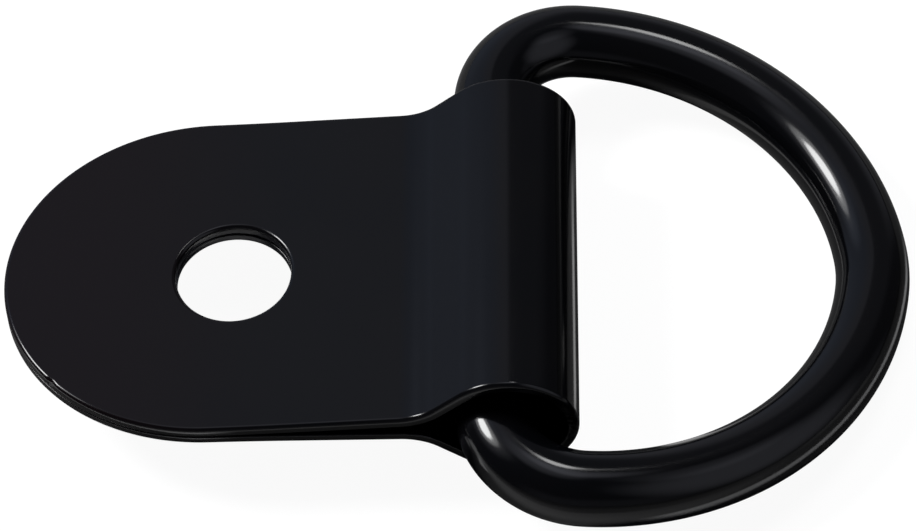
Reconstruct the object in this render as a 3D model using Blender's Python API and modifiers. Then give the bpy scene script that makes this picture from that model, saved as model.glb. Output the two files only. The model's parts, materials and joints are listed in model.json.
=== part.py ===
"""Bolt-on D ring tie down: a strap folded from one sheet, and a D ring that swings in the strap's eye.

Metres, +Z up. The origin is on the strap's underside, on its centre line, beside the bolt hole.
+X runs from the rounded tail towards the ring, and the ring's bar lies along Y.
"""
import math

import bmesh
import bpy

MM = 0.001

# Sheet and strap
SHEET = 0.95 * MM             # thickness of the sheet
LEAF_GAP = 0.10 * MM          # between the two leaves, where they lie together
STRAP_WIDTH = 32.8 * MM
TAIL_DEPTH = 17.8 * MM        # how far the rounded tail runs along the strap
EDGE_ROUND = 0.40 * MM        # worn-round edges of the blank and of the hole

# Bolt hole
HOLE_DIAMETER = 9.85 * MM
ORIGIN_TO_HOLE = 8.0 * MM     # the origin sits under the bolt's washer
TAIL_TO_HOLE = 19.7 * MM      # tail's end to the hole's centre

# Eye and the bends that lead to it
HOLE_TO_EYE = 23.35 * MM      # hole's centre to the eye's centre
EYE_CLEARANCE = 1.875 * MM    # all round a bar that lies in the eye's middle
JOGGLE_ANGLE = math.radians(41.5)
JOGGLE_RADIUS = 5.3 * MM      # on the middle of the sheet
SPREAD_ANGLE = math.radians(1.8)   # how far each leaf parts from the other past the hole

# Ring
WIRE = 6.35 * MM              # diameter of the ring's round bar
ARM_CLEARANCE = 4.45 * MM     # strap's edge to the ring's arm, with the ring in the middle
CORNER_RADIUS = 4.65 * MM     # inside radius of the two bends beside the straight bar
BOW_RADIUS = 12.3 * MM        # inside radius at the far end of the D
SIDE_TURN = math.radians(83)  # how far each long side bend turns before the far end
WELD_SWELL = 0.16 * MM        # how far the butt weld stands out of the bar
WELD_LENGTH = 3.0 * MM

# Where the ring lies in the eye
BAR_GAP = 0.37 * MM           # bar to the inside of the eye
BAR_LEAN = math.radians(15.4)      # the bar lies back in the eye and this much below straight back
NEAR_ARM_GAP = 2.25 * MM      # the ring lies off centre: gap from the strap's edge to the arm at -Y
RING_DROOP = math.radians(8.0)     # far end of the D lower than the bar

# Fineness of the round shapes
ARC_STEP = math.radians(7.5)  # turn between two points of a bend in the sheet
WIRE_STEP = math.radians(6.0) # turn between two points along the ring
TAIL_POINTS = 48
HOLE_POINTS = 48
WIRE_POINTS = 20              # round the bar
EDGE_ANGLE = math.radians(40)      # sharper edges than this are rounded
EDGE_FACETS = 3               # across a rounded edge
EDGE_SHARE = 0.45             # of the sheet, the most that an edge's rounding takes
TRIM = 2.0 * MM               # how far the sheet runs past the blank before it is cut out
MERGE = 0.001 * MM            # points closer than this are one

# Places worked out from the sizes above
HOLE_X = ORIGIN_TO_HOLE
TAIL_X = HOLE_X - TAIL_TO_HOLE
EYE_X = HOLE_X + HOLE_TO_EYE
FOLD_Z = SHEET + LEAF_GAP / 2
EYE_RADIUS = WIRE / 2 + EYE_CLEARANCE
EYE_OUTER_RADIUS = EYE_RADIUS + SHEET
BAR_OFFSET = EYE_CLEARANCE - BAR_GAP
BAR_X = EYE_X - BAR_OFFSET * math.cos(BAR_LEAN)
BAR_Z = FOLD_Z - BAR_OFFSET * math.sin(BAR_LEAN)
RING_SHIFT = ARM_CLEARANCE - NEAR_ARM_GAP


def clear_scene():
    for item in list(bpy.data.objects):
        bpy.data.objects.remove(item, do_unlink=True)


def collection(name):
    """A collection of that name, linked to the scene."""
    group = bpy.data.collections.get(name) or bpy.data.collections.new(name)
    if name not in bpy.context.scene.collection.children:
        bpy.context.scene.collection.children.link(group)
    return group


def enamel(name, colour, roughness):
    """Glossy paint as a plain Principled material."""
    material = bpy.data.materials.new(name)
    material.use_nodes = True
    shader = material.node_tree.nodes["Principled BSDF"]
    shader.inputs["Base Color"].default_value = (*colour, 1.0)
    shader.inputs["Roughness"].default_value = roughness
    shader.inputs["Metallic"].default_value = 0.0
    material.diffuse_color = (*colour, 1.0)
    return material


def arc(centre, radius, start, end, step):
    """Points on a circle in the plane, from one angle to another, both ends included."""
    count = max(2, math.ceil(abs(end - start) / step - 1e-9))
    angles = [start + (end - start) * i / count for i in range(count + 1)]
    return [(centre[0] + radius * math.cos(a), centre[1] + radius * math.sin(a)) for a in angles]


def leaf_line():
    """Middle of the upper leaf, tail to nose, as (x, height above the fold's middle plane)."""
    flat = (LEAF_GAP + SHEET) / 2
    eye_middle = EYE_RADIUS + SHEET / 2
    # The slope is a straight line that touches the eye's circle
    touch_x = EYE_X - eye_middle * math.sin(JOGGLE_ANGLE)
    touch_h = eye_middle * math.cos(JOGGLE_ANGLE)
    leaf_rise = math.tan(SPREAD_ANGLE)
    slope_rise = math.tan(JOGGLE_ANGLE)
    corner_x = (touch_h - touch_x * slope_rise - flat + HOLE_X * leaf_rise) / (leaf_rise - slope_rise)
    corner_h = flat + (corner_x - HOLE_X) * leaf_rise
    # The bend between the leaf and the slope
    back = JOGGLE_RADIUS * math.tan((JOGGLE_ANGLE - SPREAD_ANGLE) / 2)
    start_x = corner_x - back * math.cos(SPREAD_ANGLE)
    start_h = corner_h - back * math.sin(SPREAD_ANGLE)
    centre = (start_x - JOGGLE_RADIUS * math.sin(SPREAD_ANGLE),
              start_h + JOGGLE_RADIUS * math.cos(SPREAD_ANGLE))
    quarter = math.pi / 2
    bend = arc(centre, JOGGLE_RADIUS, SPREAD_ANGLE - quarter, JOGGLE_ANGLE - quarter, ARC_STEP)
    nose = arc((EYE_X, 0.0), eye_middle, quarter + JOGGLE_ANGLE, 0.0, ARC_STEP)
    return [(TAIL_X - TRIM, flat), (HOLE_X, flat)] + bend + nose


def ring_line():
    """Middle of the ring's bar, once round, as (distance from the bar, distance to the side)."""
    bar_radius = WIRE / 2
    corner = CORNER_RADIUS + bar_radius
    bow = BOW_RADIUS + bar_radius
    half_width = STRAP_WIDTH / 2 + ARM_CLEARANCE + bar_radius
    straight = half_width - corner
    # The side bend starts at the widest place and meets the far end's bend without a corner
    side = (half_width - bow * math.cos(SIDE_TURN)) / (1 - math.cos(SIDE_TURN))
    quarter = math.pi / 2
    corner_arc = arc((corner, straight), corner, math.pi, quarter, WIRE_STEP)
    side_arc = arc((corner, half_width - side), side, quarter, quarter - SIDE_TURN, WIRE_STEP)
    bow_centre = (corner + (side - bow) * math.sin(SIDE_TURN), 0.0)
    bow_arc = arc(bow_centre, bow, quarter - SIDE_TURN, 0.0, WIRE_STEP)
    weld = [(0.0, 0.0), (0.0, WELD_LENGTH / 4), (0.0, WELD_LENGTH / 2), (0.0, straight / 2)]
    half = weld + corner_arc + side_arc[1:] + bow_arc[1:]
    mirrored = [(x, -y) for x, y in reversed(half[1:-1])]
    return half + mirrored


def tail_outline():
    """The blank seen from above: straight sides, and a half ellipse at the tail."""
    half = STRAP_WIDTH / 2
    centre_x = TAIL_X + TAIL_DEPTH
    end_x = EYE_X + EYE_OUTER_RADIUS + TRIM
    angles = [math.pi / 2 + math.pi * i / TAIL_POINTS for i in range(TAIL_POINTS + 1)]
    tail = [(centre_x + TAIL_DEPTH * math.cos(a), half * math.sin(a)) for a in angles]
    return [(end_x, half)] + tail + [(end_x, -half)]


def poly_curve(name, points, cyclic, dimensions):
    """A curve object through the given points, with straight pieces between them."""
    data = bpy.data.curves.new(name, "CURVE")
    data.dimensions = dimensions
    spline = data.splines.new("POLY")
    spline.points.add(len(points) - 1)
    for point, (x, y) in zip(spline.points, points):
        point.co = (x, y, 0.0, 1.0)
    spline.use_cyclic_u = cyclic
    item = bpy.data.objects.new(name, data)
    bpy.context.scene.collection.objects.link(item)
    return item


def as_mesh(item, name, group):
    """Replace a curve object by its mesh, welded, with the same placing."""
    bpy.context.view_layer.update()
    graph = bpy.context.evaluated_depsgraph_get()
    mesh = bpy.data.meshes.new_from_object(item.evaluated_get(graph))
    mesh.name = name
    shape = bmesh.new()
    shape.from_mesh(mesh)
    bmesh.ops.remove_doubles(shape, verts=shape.verts, dist=MERGE)
    shape.to_mesh(mesh)
    shape.free()
    result = bpy.data.objects.new(name, mesh)
    result.matrix_world = item.matrix_world
    group.objects.link(result)
    curve = item.data
    bpy.data.objects.remove(item, do_unlink=True)
    bpy.data.curves.remove(curve)
    return result


def as_cutter(item):
    item.hide_render = True
    item.display_type = "WIRE"
    return item


def cut(item, tool, operation):
    """Add an exact Boolean with the given cutter."""
    modifier = item.modifiers.new(operation.title(), "BOOLEAN")
    modifier.operation = operation
    modifier.object = tool
    modifier.solver = "EXACT"


def sheet_ribbon(group):
    """The folded sheet before it is cut out: an open ribbon along the fold's middle line."""
    upper = leaf_line()
    lower = [(x, -h) for x, h in reversed(upper[:-1])]
    ribbon = poly_curve("sheet", upper + lower, False, "2D")
    ribbon.data.fill_mode = "NONE"
    ribbon.data.extrude = STRAP_WIDTH / 2 + TRIM
    ribbon.location = (0.0, 0.0, FOLD_Z)
    ribbon.rotation_euler = (math.pi / 2, 0.0, 0.0)
    strap = as_mesh(ribbon, "folded_strap", group)
    wall = strap.modifiers.new("Sheet", "SOLIDIFY")
    wall.thickness = SHEET
    wall.offset = 0.0
    wall.use_even_offset = True
    return strap


def blank_cutter(group):
    """A prism over the blank's outline, tall enough for the eye."""
    outline = poly_curve("blank", tail_outline(), True, "2D")
    outline.data.fill_mode = "BOTH"
    outline.data.extrude = EYE_OUTER_RADIUS + TRIM
    outline.location = (0.0, 0.0, FOLD_Z)
    return as_cutter(as_mesh(outline, "blank_cutter", group))


def hole_cutter(group):
    """A cylinder through both leaves, where the bolt goes."""
    bpy.ops.mesh.primitive_cylinder_add(vertices=HOLE_POINTS, radius=HOLE_DIAMETER / 2,
                                        depth=2 * EYE_RADIUS, location=(HOLE_X, 0.0, FOLD_Z))
    tool = bpy.context.object
    tool.name = "bolt_hole_cutter"
    for owner in list(tool.users_collection):
        owner.objects.unlink(tool)
    group.objects.link(tool)
    return as_cutter(tool)


def folded_strap(parts, cutters):
    """The strap: ribbon with its thickness, cut to the blank's outline, drilled, with round edges."""
    strap = sheet_ribbon(parts)
    cut(strap, blank_cutter(cutters), "INTERSECT")
    cut(strap, hole_cutter(cutters), "DIFFERENCE")
    edge = strap.modifiers.new("Edge", "BEVEL")
    edge.width = min(EDGE_ROUND, EDGE_SHARE * SHEET)
    edge.segments = EDGE_FACETS
    edge.limit_method = "ANGLE"
    edge.angle_limit = EDGE_ANGLE
    edge.use_clamp_overlap = False
    strap.data.materials.append(enamel("strap_black_enamel", (0.012, 0.013, 0.016), 0.16))
    return strap


def d_ring(parts):
    """The ring: a round bar along the D, with its origin on the axis that it swings about."""
    points = ring_line()
    ring = poly_curve("d_ring_wire", points, True, "3D")
    ring.data.bevel_depth = WIRE / 2
    ring.data.bevel_resolution = WIRE_POINTS // 2 - 2
    # The butt weld is a low swelling in the middle of the straight bar
    weld_end = WELD_LENGTH / 2
    for point in ring.data.splines[0].points:
        if point.co.x < WIRE / 2 and abs(point.co.y) < weld_end:
            swell = WELD_SWELL * math.cos(point.co.y / weld_end * math.pi / 2)
            point.radius = 1.0 + swell / (WIRE / 2)
    ring.location = (BAR_X, RING_SHIFT, BAR_Z)
    ring.rotation_euler = (0.0, RING_DROOP, 0.0)
    ring = as_mesh(ring, "d_ring", parts)
    ring.data.materials.clear()
    ring.data.materials.append(enamel("ring_black_enamel", (0.011, 0.012, 0.014), 0.18))
    ring.data.shade_smooth()
    return ring


def main():
    clear_scene()
    parts = collection("bolt_on_d_ring")
    cutters = collection("cutters")
    folded_strap(parts, cutters)
    d_ring(parts)


main()
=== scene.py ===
"""Looks of a bolt-on D ring tie down: black enamel on a folded steel strap and on the ring in its eye."""

import json
import math

import bmesh
import bpy
from mathutils import Matrix, Vector, noise


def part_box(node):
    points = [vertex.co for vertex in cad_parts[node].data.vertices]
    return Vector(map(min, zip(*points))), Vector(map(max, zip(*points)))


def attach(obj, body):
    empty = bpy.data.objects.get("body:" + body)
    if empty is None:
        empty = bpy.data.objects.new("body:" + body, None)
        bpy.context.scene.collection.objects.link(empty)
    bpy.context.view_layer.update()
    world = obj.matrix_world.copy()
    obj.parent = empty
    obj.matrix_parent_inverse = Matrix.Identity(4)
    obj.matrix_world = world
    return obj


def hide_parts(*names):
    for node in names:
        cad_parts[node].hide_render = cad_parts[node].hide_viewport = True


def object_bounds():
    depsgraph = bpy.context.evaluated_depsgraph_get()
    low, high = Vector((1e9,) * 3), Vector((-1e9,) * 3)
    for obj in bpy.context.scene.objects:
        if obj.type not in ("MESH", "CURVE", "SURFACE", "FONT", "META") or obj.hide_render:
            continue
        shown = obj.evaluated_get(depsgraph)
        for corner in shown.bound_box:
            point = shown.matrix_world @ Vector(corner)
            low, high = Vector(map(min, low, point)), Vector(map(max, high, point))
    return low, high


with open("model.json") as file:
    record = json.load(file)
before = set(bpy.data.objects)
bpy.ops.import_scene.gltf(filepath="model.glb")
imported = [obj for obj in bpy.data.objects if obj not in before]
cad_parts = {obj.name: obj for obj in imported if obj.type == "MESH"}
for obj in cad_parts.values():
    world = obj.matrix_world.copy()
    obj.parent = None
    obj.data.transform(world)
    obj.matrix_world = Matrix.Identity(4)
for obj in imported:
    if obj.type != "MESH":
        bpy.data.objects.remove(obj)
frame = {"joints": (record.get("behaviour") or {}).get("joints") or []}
cad_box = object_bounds()

MM = 0.001
QUARTER = math.pi / 2

# Sizes that the frame gives
STRAP_LOW, STRAP_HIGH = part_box("folded_strap")
TAIL_X = STRAP_LOW.x
NOSE_X = STRAP_HIGH.x
HALF_WIDTH = STRAP_HIGH.y
FOLD_Z = (STRAP_LOW.z + STRAP_HIGH.z) / 2
EYE_OUTER = (STRAP_HIGH.z - STRAP_LOW.z) / 2
PIVOT = Vector(frame["joints"][0]["pos_m"])

# Strap
SHEET = 0.95 * MM
LEAF_GAP = 0.10 * MM
TAIL_DEPTH = 17.8 * MM
HOLE_X = 8.0 * MM
HOLE_RADIUS = 4.925 * MM
OUTER_ROUND = 0.40 * MM
INNER_ROUND = 0.10 * MM
JOGGLE_ANGLE = math.radians(41.5)
JOGGLE_RADIUS = 5.3 * MM
SPREAD_ANGLE = math.radians(1.8)
SPREAD_LENGTH = 10.0 * MM
EYE_X = NOSE_X - EYE_OUTER
EYE_MIDDLE = EYE_OUTER - SHEET / 2
LEAF_HEIGHT = (LEAF_GAP + SHEET) / 2

# Burr on the near rim: its middle lies past the middle of the blank, and it fades out over its reach. Its knobs are
# squashed through the sheet, with a second set between them that is finer and lower.
BURR = 0.09 * MM
BURR_MEAN = 0.3
BURR_MIDDLE = 1.6 * MM
BURR_REACH = 5.0 * MM
KNOB = 0.55 * MM
KNOB_SQUASH = 1.4
FINE_KNOB = 2.3
FINE_SHARE = 0.5

# Chip in the tail's near rim
CHIP_PLACE = Vector((-7.28, -10.85)) * MM
CHIP_SIZE = 0.55 * MM
CHIP_DEPTH = 0.14 * MM

# Ring
WIRE = 6.35 * MM
RING_HALF_WIDTH = 24.025 * MM
CORNER_BEND = 7.825 * MM
BOW_BEND = 15.475 * MM
SIDE_TURN = math.radians(83)
RING_DROOP = math.radians(8.0)
WELD_SWELL = 0.16 * MM
WELD_LENGTH = 3.0 * MM

# Fineness
BEND_STEP = math.radians(2.0)
SPREAD_STEP = math.radians(0.2)
WIRE_SIDES = 96
TAIL_SIDES = 384
HOLE_SIDES = 192
EDGE_SEGMENTS = 6
RIM_CUTS = (-0.22, -0.10, 0.02)
WELD_SECTIONS = 8
STRAIGHT_SECTIONS = 24

# What is painted on the bench that the paint mirrors: a strength, then where it begins and ends and how softly,
# along X and then along Y, in mm. The shades are painted shade that holds the bench's own light back, the bands in
# front are painted light, and the papers are white paper under the part with painted light beside it.
TABLE_RADIUS = 2.5
FAR = 3000
# Painted shade: darker zones on the bench behind and right of the bow, and along the front of the strap's near
# edge.
SHADES = (
    (0.45, 72, FAR, 12, 14, 30, 8),
    (0.80, 115, FAR, 23, 30, FAR, 20),
    (0.70, 0, 30, 8, -24, -18, 4),
)
# Painted light: bright bands on the bench in front of the part and one at its right front, fading with distance.
PAINTED_LIGHT_BANDS = (
    (0.16, -FAR, 20, 70, -38, -32, 7),
    (0.07, -FAR, 20, 25, -48, -34, 16),
    (0.04, -FAR, FAR, 10, -62, -34, 24),
    (0.09, 110, FAR, 25, -32, -8, 12),
)
# White paper under the part, then painted light on the bench: a pool to its left and a band along its near outline.
PAPER_AND_PAINTED_LIGHT = (
    (0.85, -4, 32, 4, -12, 14, 5),
    (0.42, -FAR, -27, 8, -28, -8, 10),
    (0.75, -20, 4, 4, -27.5, -24, 1.5),
)

# Lights: name, azimuth, elevation, width and height in degrees, radiance, and whether the paint mirrors it
LIGHT_AIM = Vector((30.0, 0.0, 0.0)) * MM
LIGHT_DISTANCE = 0.9
LIGHTS = (
    ("key_light", -74, 47, 17, 17, 20.0, True),
    ("key_softbox", -74, 47, 28, 30, 2.5, True),
    ("key_spill", -74, 47, 16, 16, 44.0, False),
    ("top_light", 22, 65, 5, 11, 9.0, True),
    ("top_spill", 22, 65, 24, 24, 9.0, False),
)

# Glow on the room's walls and ceiling: strength, then azimuth, elevation, full radius and outer radius in degrees
GLOWS = (
    (0.60, 35, 79, 2, 14),
    (0.35, -40, 86, 3, 20),
    (0.12, -40, 72, 4, 20),
    (0.32, 118, 30, 12, 38),
    (0.25, -74, 47, 12, 28),
    (0.05, 90, 4, 8, 20),
    (0.20, 98, 58, 3, 18),
)


def select_none():
    bpy.ops.object.select_all(action="DESELECT")


def edit():
    bpy.ops.object.mode_set(mode="EDIT")
    bpy.ops.mesh.select_mode(type="VERT")


def leave_edit():
    bpy.ops.object.mode_set(mode="OBJECT")


def pick(item, wanted):
    """Select the vertices that the given test holds for, in edit mode."""
    bpy.ops.mesh.select_all(action="DESELECT")
    shape = bmesh.from_edit_mesh(item.data)
    for vertex in shape.verts:
        if wanted(vertex.co):
            vertex.select_set(True)
    shape.select_flush(True)
    bmesh.update_edit_mesh(item.data)


def apply_placing(item):
    """Put the object's place, turn and size into its mesh."""
    select_none()
    item.select_set(True)
    bpy.context.view_layer.objects.active = item
    bpy.ops.object.transform_apply(location=True, rotation=True, scale=True)


def apply_modifiers(item):
    select_none()
    item.select_set(True)
    bpy.context.view_layer.objects.active = item
    for modifier in list(item.modifiers):
        bpy.ops.object.modifier_apply(modifier=modifier.name)


def fold_line():
    """The strap's middle line as (length, turn) pieces, from the upper leaf's tail to the lower leaf's."""
    # Where the slope meets the eye's circle, and where the leaf's line would meet the slope
    touch = Vector((EYE_X - EYE_MIDDLE * math.sin(JOGGLE_ANGLE), 0, EYE_MIDDLE * math.cos(JOGGLE_ANGLE)))
    leaf_rise = math.tan(SPREAD_ANGLE)
    slope_rise = math.tan(JOGGLE_ANGLE)
    corner_x = touch.z - touch.x * slope_rise - LEAF_HEIGHT + HOLE_X * leaf_rise
    corner_x /= leaf_rise - slope_rise
    corner_h = LEAF_HEIGHT + (corner_x - HOLE_X) * leaf_rise
    spread_radius = SPREAD_LENGTH / 2 / math.tan(SPREAD_ANGLE / 2)
    joggle_turn = JOGGLE_ANGLE - SPREAD_ANGLE
    back = JOGGLE_RADIUS * math.tan(joggle_turn / 2)
    leaf_run = (corner_x - HOLE_X) / math.cos(SPREAD_ANGLE) - SPREAD_LENGTH / 2 - back
    slope_run = math.hypot(touch.x - corner_x, touch.z - corner_h) - back
    leaf = [(HOLE_X - SPREAD_LENGTH / 2 - TAIL_X, 0.0),
            (spread_radius * SPREAD_ANGLE, SPREAD_ANGLE),
            (leaf_run, 0.0),
            (JOGGLE_RADIUS * joggle_turn, joggle_turn),
            (slope_run, 0.0)]
    eye_turn = 2 * (QUARTER + JOGGLE_ANGLE)
    return leaf + [(EYE_MIDDLE * eye_turn, -eye_turn)] + leaf[::-1]


def punch_blank(length):
    """The blank, flat along +X from its tail at the origin: half an ellipse at each end, straight between."""
    bpy.ops.mesh.primitive_cylinder_add(vertices=TAIL_SIDES, radius=1.0, depth=SHEET,
                                        rotation=(0.0, 0.0, math.pi / TAIL_SIDES))
    strap = bpy.context.object
    apply_placing(strap)
    strap.scale = (TAIL_DEPTH, HALF_WIDTH, 1.0)
    strap.location = (TAIL_DEPTH, 0.0, 0.0)
    apply_placing(strap)
    edit()
    pick(strap, lambda co: co.x > TAIL_DEPTH)
    bpy.ops.transform.translate(value=(length - 2 * TAIL_DEPTH, 0.0, 0.0))
    leave_edit()
    return strap


def punch_hole(strap, x):
    bpy.ops.mesh.primitive_cylinder_add(vertices=HOLE_SIDES, radius=HOLE_RADIUS, depth=2 * SHEET,
                                        location=(x, 0.0, 0.0))
    punch = bpy.context.object
    apply_placing(punch)
    hole = strap.modifiers.new("hole", "BOOLEAN")
    hole.operation = "DIFFERENCE"
    hole.object = punch
    hole.solver = "EXACT"
    apply_modifiers(strap)
    bpy.data.objects.remove(punch, do_unlink=True)


def soften_edges(strap):
    """Round the sheet's rims: well on the face that ends up outside the fold, and barely on the other."""
    face_height = 0.49 * SHEET
    edit()
    bpy.ops.mesh.select_mode(type="EDGE")
    for side, width in ((1, OUTER_ROUND), (-1, INNER_ROUND)):
        bpy.ops.mesh.select_all(action="DESELECT")
        shape = bmesh.from_edit_mesh(strap.data)
        for edge in shape.edges:
            on_face = all(vertex.co.z * side > face_height for vertex in edge.verts)
            edge.select_set(on_face and edge.calc_face_angle() > QUARTER / 2)
        bmesh.update_edit_mesh(strap.data)
        bpy.ops.mesh.bevel(offset=width, segments=EDGE_SEGMENTS, affect="EDGES", clamp_overlap=False)
    leave_edit()


def score(strap, line):
    """Cut the blank's rim lengthwise, so that it can be roughened, and the blank across, wherever it will bend."""
    edit()
    for share in RIM_CUTS:
        bpy.ops.mesh.select_all(action="SELECT")
        bpy.ops.mesh.bisect(plane_co=(0.0, 0.0, share * SHEET), plane_no=(0.0, 0.0, 1.0))
    distance = 0.0
    for length, turn in line:
        step = SPREAD_STEP if abs(turn) < 2 * SPREAD_ANGLE else BEND_STEP
        steps = math.ceil(abs(turn) / step)
        for i in range(steps + 1 if steps else 0):
            bpy.ops.mesh.select_all(action="SELECT")
            bpy.ops.mesh.bisect(plane_co=(distance + i / steps * length, 0.0, 0.0), plane_no=(1.0, 0.0, 0.0))
        distance += length
    leave_edit()


def rough_rim(strap, length):
    """The burr that the shear left where the near rim turns under the nose, and a chip in the tail's rim."""
    chip = CHIP_PLACE - Vector((TAIL_X, 0.0))
    for vertex in strap.data.vertices:
        x, y, z = vertex.co
        rim = min(1.0, (-y - HALF_WIDTH + OUTER_ROUND) / OUTER_ROUND)
        reach = 1.0 - ((x - length / 2 - BURR_MIDDLE) / BURR_REACH) ** 2
        if min(rim, reach) > 0.0:
            knobs = noise.noise(Vector((x, KNOB_SQUASH * z, 0.0)) / KNOB)
            knobs += FINE_SHARE * noise.noise(Vector((x, z, MM)) * FINE_KNOB / KNOB)
            vertex.co.y -= rim * reach * BURR * (BURR_MEAN + knobs)
        away = (Vector((x, y)) - chip).length / CHIP_SIZE
        if away < 1.0 and z > 0.0:
            vertex.co.z -= CHIP_DEPTH * (1.0 - away ** 2) ** 2
            vertex.co.y += CHIP_DEPTH * (1.0 - away ** 2) ** 2


def along(line, distance):
    """The place and the heading at a distance along the fold line."""
    place = Vector((TAIL_X, 0.0, FOLD_Z + LEAF_HEIGHT))
    heading = 0.0
    for length, turn in line:
        run = min(distance, length)
        after = heading + turn * run / length
        if turn:
            arc = Vector((math.sin(after) - math.sin(heading), 0.0, math.cos(heading) - math.cos(after)))
            place += length / turn * arc
        else:
            place += run * Vector((math.cos(heading), 0.0, math.sin(heading)))
        heading = after
        distance -= run
        if distance <= 0.0:
            break
    return place, heading


def fold(strap, line):
    """Move every point of the flat blank to where the folding takes it; the middle surface keeps its length."""
    for vertex in strap.data.vertices:
        place, heading = along(line, vertex.co.x)
        height = vertex.co.z
        vertex.co = place + Vector((-math.sin(heading) * height, vertex.co.y, math.cos(heading) * height))


def model_strap():
    """The strap: punched flat, its edges softened, then folded to the shape that it has round the ring's bar."""
    line = fold_line()
    length = sum(piece[0] for piece in line)
    strap = punch_blank(length)
    strap.name = "enamelled_strap"
    strap.data.name = strap.name
    for x in (HOLE_X - TAIL_X, length - HOLE_X + TAIL_X):
        punch_hole(strap, x)
    soften_edges(strap)
    score(strap, line)
    rough_rim(strap, length)
    fold(strap, line)
    bpy.ops.object.shade_smooth()
    shade = strap.modifiers.new("shade", "WEIGHTED_NORMAL")
    shade.keep_sharp = False
    apply_modifiers(strap)
    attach(strap, "strap")
    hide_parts("folded_strap")
    return strap


def ring_run(distance, sections):
    """Extrude the section straight on along the bar."""
    for _ in range(sections):
        bpy.ops.mesh.extrude_region_move(TRANSFORM_OT_translate={"value": (0.0, distance / sections, 0.0)})


def ring_bend(centre, turn, step):
    """Spin the section about an upright line through a point of the ring's plane."""
    bpy.ops.mesh.spin(steps=math.ceil(turn / step), angle=turn, center=(*centre, 0.0), axis=(0.0, 0.0, 1.0))


def raise_weld(ring):
    """A low swelling of the bar where its two ends were butt welded."""
    for i in range(WELD_SECTIONS):
        y = i / WELD_SECTIONS * WELD_LENGTH / 2
        swell = WELD_SWELL * (1 + math.cos(math.pi * i / WELD_SECTIONS)) / 2
        pick(ring, lambda co: abs(co.y - y) < MM / 100 and co.x < WIRE)
        size = 1 + swell / (WIRE / 2)
        bpy.ops.transform.resize(value=(size, 1.0, size), center_override=(0.0, y, 0.0))


def model_ring():
    """The ring: its round section drawn along the bar and the bends to the middle of the bow, then mirrored."""
    bpy.ops.mesh.primitive_circle_add(vertices=WIRE_SIDES, radius=WIRE / 2, rotation=(QUARTER, 0.0, 0.0))
    ring = bpy.context.object
    ring.name = "enamelled_ring"
    ring.data.name = ring.name
    apply_placing(ring)
    straight = RING_HALF_WIDTH - CORNER_BEND
    side_bend = (RING_HALF_WIDTH - BOW_BEND * math.cos(SIDE_TURN)) / (1 - math.cos(SIDE_TURN))
    bow_x = CORNER_BEND + (side_bend - BOW_BEND) * math.sin(SIDE_TURN)
    edit()
    bpy.ops.mesh.select_all(action="SELECT")
    ring_run(WELD_LENGTH / 2, WELD_SECTIONS)
    ring_run(straight - WELD_LENGTH / 2, STRAIGHT_SECTIONS)
    ring_bend((CORNER_BEND, straight), QUARTER, BEND_STEP)
    ring_bend((CORNER_BEND, RING_HALF_WIDTH - side_bend), SIDE_TURN, BEND_STEP / 2)
    ring_bend((bow_x, 0.0), QUARTER - SIDE_TURN, BEND_STEP / 2)
    raise_weld(ring)
    bpy.ops.mesh.select_all(action="SELECT")
    bpy.ops.mesh.duplicate()
    bpy.ops.transform.resize(value=(1.0, -1.0, 1.0), center_override=(0.0, 0.0, 0.0))
    bpy.ops.mesh.select_all(action="SELECT")
    bpy.ops.mesh.remove_doubles(threshold=MM / 1000)
    bpy.ops.mesh.normals_make_consistent(inside=False)
    leave_edit()
    bpy.ops.object.shade_smooth()
    ring.rotation_euler = (0.0, RING_DROOP, 0.0)
    ring.location = PIVOT
    apply_placing(ring)
    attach(ring, "ring")
    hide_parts("d_ring")
    return ring


def set_camera():
    """The photograph's viewing angle, distance and framing."""
    azimuth = math.radians(4.55)
    elevation = math.radians(52.74)
    roll = math.radians(-5.57)
    target = Vector((27.19, 0.755, 1.0)) * MM
    distance = 480.0 * MM
    back = Vector((math.sin(azimuth) * math.cos(elevation), -math.cos(azimuth) * math.cos(elevation),
                   math.sin(elevation)))
    right = Vector((math.cos(azimuth), math.sin(azimuth), 0.0))
    up = back.cross(right)
    turned_right = right * math.cos(roll) + up * math.sin(roll)
    turned_up = up * math.cos(roll) - right * math.sin(roll)
    camera = bpy.data.objects.new("camera", bpy.data.cameras.new("camera"))
    bpy.context.scene.collection.objects.link(camera)
    camera.matrix_world = Matrix.Translation(target + back * distance) @ Matrix(
        (turned_right, turned_up, back)).transposed().to_4x4()
    camera.data.sensor_width = 36.0
    camera.data.lens = 220.65
    camera.data.clip_start = 0.01
    camera.data.clip_end = 10.0
    bpy.context.scene.camera = camera


class Value:
    """A shader socket that takes part in sums: each operator adds a Math node."""

    def __init__(self, paint, socket):
        self.paint = paint
        self.socket = socket

    def math(self, operation, *others):
        inputs = dict(enumerate((self, *others)))
        return self.paint.node("Math", {"operation": operation}, inputs)

    def __add__(self, other):
        return self.math("ADD", other)

    def __radd__(self, other):
        return self.math("ADD", other)

    def __sub__(self, other):
        return self.math("SUBTRACT", other)

    def __rsub__(self, other):
        return self.paint.node("Math", {"operation": "SUBTRACT"}, {0: other, 1: self})

    def __mul__(self, other):
        return self.math("MULTIPLY", other)

    def __rmul__(self, other):
        return self.math("MULTIPLY", other)

    def __truediv__(self, other):
        return self.math("DIVIDE", other)

    def __pow__(self, other):
        return self.math("POWER", other)

    def rise(self, low, high):
        """0 below low, 1 above high, and smooth between; low may be the larger."""
        settings = {"interpolation_type": "SMOOTHSTEP", "clamp": True}
        return self.paint.node("MapRange", settings, {"Value": self, "From Min": low, "From Max": high})

    def span(self, low, high, soft):
        """1 between low and high, and falling smoothly to 0 past them, over the distance soft."""
        return self.rise(low - soft, low) * self.rise(high + soft, high)


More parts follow.
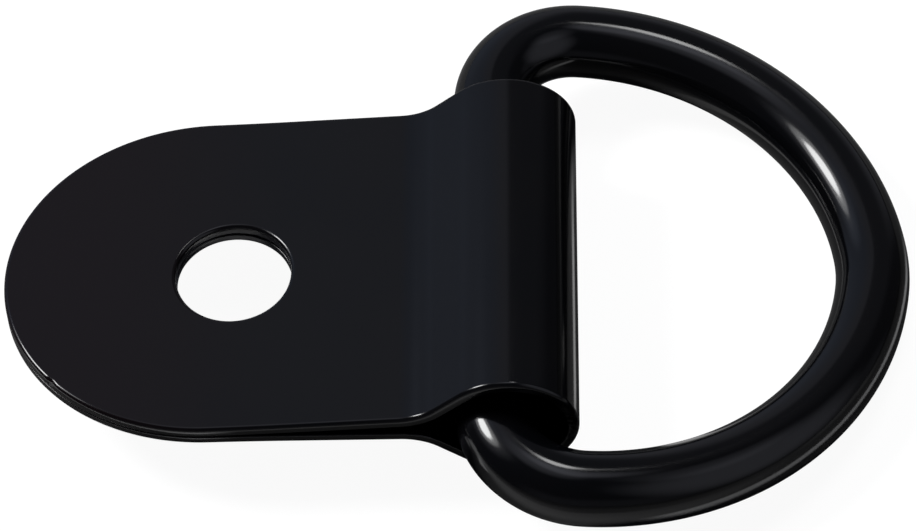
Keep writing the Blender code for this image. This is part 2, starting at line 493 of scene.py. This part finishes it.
class Paint:
    """The node tree of a material or of the studio's surround, with one method that adds a node."""

    def __init__(self, owner, shader="Principled BSDF", place="Object"):
        owner.use_nodes = True
        self.owner = owner
        self.tree = owner.node_tree
        self.shader = self.tree.nodes[shader]
        self.place = self.node("TexCoord", {}, {}, place)

    def set(self, socket, value):
        if isinstance(value, Value):
            self.tree.links.new(value.socket, socket)
        else:
            socket.default_value = value

    def node(self, kind, settings, inputs, output=0):
        item = self.tree.nodes.new("ShaderNode" + kind)
        for name, value in settings.items():
            setattr(item, name, value)
        for name, value in inputs.items():
            self.set(item.inputs[name], value)
        return Value(self, item.outputs[output])

    def axis(self, name):
        return self.node("SeparateXYZ", {}, {0: self.place}, name)

    def noise(self, size, detail=1.0, stretch=(1.0, 1.0, 1.0)):
        """Noise whose features are about the given size, longer along the axes that are stretched."""
        place = self.node("Mapping", {}, {"Vector": self.place, "Scale": [1 / k for k in stretch]})
        return self.node("TexNoise", {}, {"Vector": place, "Scale": 1 / size, "Detail": detail}, "Fac")

    def specks(self, spacing, radius, share):
        """Round spots of the given radius, in that share of cells of the given size."""
        cells = {"Vector": self.place, "Scale": 1 / spacing}
        distance = self.node("TexVoronoi", {}, cells, "Distance")
        chosen = self.node("SeparateColor", {}, {0: self.node("TexVoronoi", {}, cells, "Color")}, 0)
        return distance.rise(radius / spacing, 0.0) * chosen.rise(share, share - 0.001)

    def mix(self, share, first, second):
        return self.node("Mix", {"data_type": "RGBA"}, {0: share, 6: first, 7: second}, 2)

    def grey(self, level):
        return self.node("CombineColor", {}, {0: level, 1: level, 2: level})

    def feed(self, **values):
        """Set the shader's sockets; an underscore in a name stands for a space."""
        for name, value in values.items():
            self.set(self.shader.inputs[name.replace("_", " ")], value)
        return self.owner

    def bump(self, height):
        return self.node("Bump", {}, {"Height": height, "Distance": 1.0, "Strength": 1.0})


def enamel(name):
    """Black stoved enamel: a blue-black film with a little orange peel, dust nibs and hairline marks."""
    paint = Paint(bpy.data.materials.new(name))
    blue_black = (0.0008, 0.0009, 0.0013, 1.0)
    grey_black = (0.0011, 0.0011, 0.0014, 1.0)
    red_black = (0.0018, 0.0008, 0.0012, 1.0)
    peel = paint.noise(1.6 * MM)
    flow = paint.noise(9 * MM)
    nibs = paint.specks(2.2 * MM, 0.10 * MM, 0.22)
    marks = paint.noise(0.05 * MM, stretch=(1.0, 30.0, 1.0)).rise(0.70, 0.80)
    towards_tail = paint.axis("X").rise(14 * MM, -6 * MM)
    colour = paint.mix(flow.rise(0.35, 0.65), blue_black, grey_black)
    colour = paint.mix(towards_tail, colour, red_black)
    roughness = 0.09 + 0.04 * paint.noise(4 * MM, 3.0) + 0.10 * nibs
    height = (peel * 0.0020 + flow * 0.005 + nibs * 0.012 - marks * 0.0002) * MM
    return paint.feed(Base_Color=colour, Roughness=roughness, Normal=paint.bump(height))


def cover(item, material):
    item.data.materials.clear()
    item.data.materials.append(material)


def lay_table(name, drop):
    """A disc just below the ring's far end, and its paint."""
    bpy.ops.mesh.primitive_circle_add(vertices=128, radius=TABLE_RADIUS, fill_type="NGON",
                                      location=(0.0, 0.0, cad_box[0].z - drop))
    table = bpy.context.object
    table.name = name
    paint = Paint(bpy.data.materials.new(name))
    paint.feed(Roughness=0.8, Specular_IOR_Level=0.0)
    cover(table, paint.owner)
    return table, paint


def paint_bench(paint):
    """A dim bench, brighter towards the back, with painted shade, painted bands of light in front, white paper
    under the part, painted light beside and round its outline, and a glowing band painted by the nose.
    """
    x = paint.axis("X") / MM
    y = paint.axis("Y") / MM

    def laid(strength, x_low, x_high, x_soft, y_low, y_high, y_soft):
        return strength * x.span(x_low, x_high, x_soft) * y.span(y_low, y_high, y_soft)

    level = 0.065 + 0.045 * y.rise(5, 25)
    for shade in SHADES:
        level = level * (1.0 - laid(*shade))
    # Painted bands of light and the paper add to the bench's light.
    for sheet in PAINTED_LIGHT_BANDS + PAPER_AND_PAINTED_LIGHT:
        level = level + laid(*sheet)
    # Painted light: a thin bright band on the bench round the ring's bow, just outside its shadow.
    from_bow = ((x - 45) * (x - 45) + y * y) ** 0.5
    level = level + 0.60 * from_bow.span(26, 28, 1.5) * x.rise(42, 48) * y.rise(12, 4)
    # A glowing band painted on the bench beside the nose: it gives light though it is no lamp.
    painted_glow = 0.85 * x.span(44, 46, 1) * y.rise(-10, -5) * y.rise(22, 9)
    paint.feed(Base_Color=paint.grey(level), Emission_Color=paint.grey(painted_glow), Emission_Strength=1.0)


def lay_tables():
    """One bright table that the camera sees, and under it the one that the paint mirrors, with real shadows and
    with painted light and shade.
    """
    seen, paint = lay_table("table", 0.02 * MM)
    paint.feed(Base_Color=(0.08, 0.08, 0.08, 1.0), Emission_Color=(1.0, 1.0, 1.0, 1.0), Emission_Strength=0.94)
    seen.visible_diffuse = False
    seen.visible_glossy = False
    seen.visible_shadow = False
    mirrored, paint = lay_table("mirrored_table", 0.30 * MM)
    paint_bench(paint)
    mirrored.visible_camera = False


def toward(azimuth, elevation):
    """The direction at an azimuth, from +Y towards +X, and a height above the horizon, in degrees."""
    a = math.radians(azimuth)
    e = math.radians(elevation)
    return Vector((math.sin(a) * math.cos(e), math.cos(a) * math.cos(e), math.sin(e)))


def hang_light(name, azimuth, elevation, width, height, radiance):
    """An elliptical soft light of the given width and height in degrees, as seen from the part."""
    data = bpy.data.lights.new(name, "AREA")
    data.shape = "ELLIPSE"
    data.size = 2 * LIGHT_DISTANCE * math.tan(math.radians(width) / 2)
    data.size_y = 2 * LIGHT_DISTANCE * math.tan(math.radians(height) / 2)
    area = math.pi / 4 * data.size * data.size_y
    data.energy = radiance * math.pi * area
    light = bpy.data.objects.new(name, data)
    bpy.context.scene.collection.objects.link(light)
    back = toward(azimuth, elevation)
    light.location = LIGHT_AIM + back * LIGHT_DISTANCE
    light.rotation_mode = "QUATERNION"
    light.rotation_quaternion = back.to_track_quat("Z", "Y")
    return light


def surround():
    """The dim room: a blue-grey wall behind on the left, a low grey panel on the right, and the lights' glow."""
    world = bpy.data.worlds.new("studio")
    room = Paint(world, "Background", "Generated")

    def glow(strength, azimuth, elevation, full, outer):
        middle = {0: room.place, 1: toward(azimuth, elevation)}
        closeness = room.node("VectorMath", {"operation": "DOT_PRODUCT"}, middle, "Value")
        return strength * closeness.rise(math.cos(math.radians(outer)), math.cos(math.radians(full)))

    x = room.axis("X")
    y = room.axis("Y")
    z = room.axis("Z")
    behind = y.rise(0.15, 0.50)
    left = behind * x.rise(0.14, 0.0)
    right = behind * (1.0 - left) * x.rise(0.78, 0.60)
    wall = left * (0.14 + 0.05 * z.rise(0.0, 0.25))
    panel = right * (0.045 + 0.12 * z.rise(0.50, 0.10))
    front = 0.06 * y.rise(-0.60, -0.95) * z.rise(0.45, 0.20)
    level = 0.035 + wall + panel + front
    for patch in GLOWS:
        level = level + glow(*patch)
    colour = room.mix(behind * x.rise(0.0, -0.40), (0.96, 0.98, 1.12, 1.0), (0.85, 0.97, 1.26, 1.0))
    bpy.context.scene.world = room.feed(Color=colour, Strength=level)


def light_studio():
    for *light, mirrored in LIGHTS:
        hang_light(*light).visible_glossy = mirrored
    surround()


strap = model_strap()
ring = model_ring()
cover(strap, enamel("strap_enamel"))
cover(ring, enamel("ring_enamel"))
lay_tables()
light_studio()
set_camera()
bpy.context.scene.view_settings.view_transform = "Standard"
